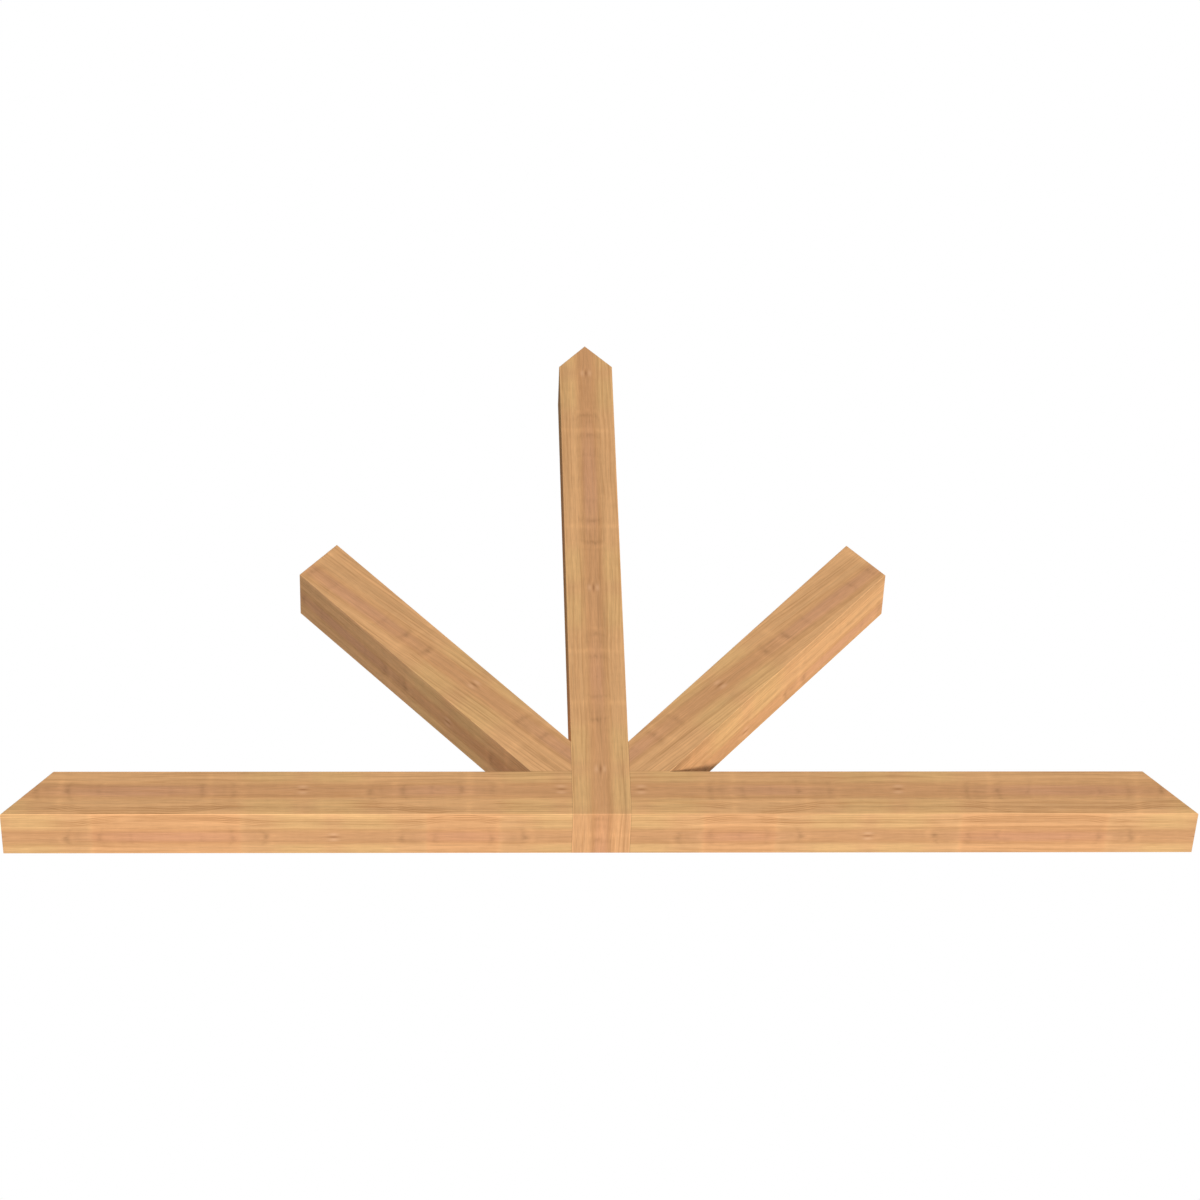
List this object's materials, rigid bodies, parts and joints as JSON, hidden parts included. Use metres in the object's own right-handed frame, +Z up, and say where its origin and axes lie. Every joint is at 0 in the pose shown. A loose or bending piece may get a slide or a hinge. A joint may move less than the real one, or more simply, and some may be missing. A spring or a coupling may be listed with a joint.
{
  "type": "timber gable bracket",
  "caption": "Gable bracket of square timber: a level beam, a pointed king post and raking struts, with every outer end sawn to the roof slope, to fill the peak of a gable.",
  "frame": {"origin": "the middle of the bracket's foot, half way along, half way front to back, on the underside of beam and post", "axes": "+X along the beam to the viewer's right, +Y from the front to the back, +Z up the king post"},
  "size_m": [1.8288, 0.0888, 1.0668],
  "materials": {
    "timber": "smooth planed and sanded softwood, unfinished"
  },
  "bodies": {
    "root": {"king_post": "timber", "beam_left": "timber", "beam_right": "timber", "strut_left": "timber", "strut_right": "timber"}
  },
  "joints": []
}
